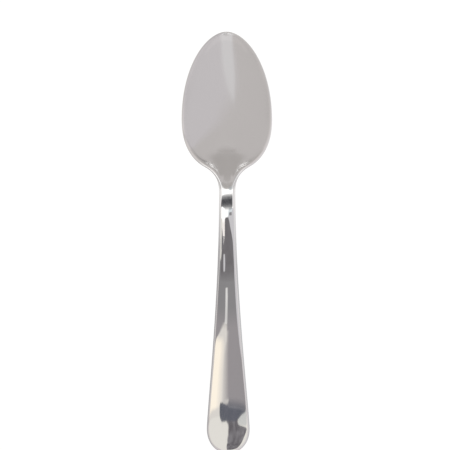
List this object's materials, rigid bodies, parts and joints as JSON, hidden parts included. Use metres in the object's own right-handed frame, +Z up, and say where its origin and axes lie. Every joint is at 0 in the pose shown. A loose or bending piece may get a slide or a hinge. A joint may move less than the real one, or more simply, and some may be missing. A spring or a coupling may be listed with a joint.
{
  "type": "tablespoon",
  "caption": "Polished stainless steel tablespoon: egg-shaped bowl, narrow neck and an arched, plain handle that widens to a rounded end.",
  "frame": {"origin": "on the table plane, under the middle of the spoon's length, on its centre line", "axes": "+Y along the spoon from the end of the handle to the tip of the bowl, +Z up out of the open bowl, +X to the right of the bowl seen from above with the tip away"},
  "size_m": [0.043, 0.2, 0.0198],
  "materials": {
    "polished_steel": "polished stainless steel, mirror bright on the handle and softer in the bowl"
  },
  "bodies": {
    "root": {"spoon": "polished_steel"}
  },
  "joints": []
}
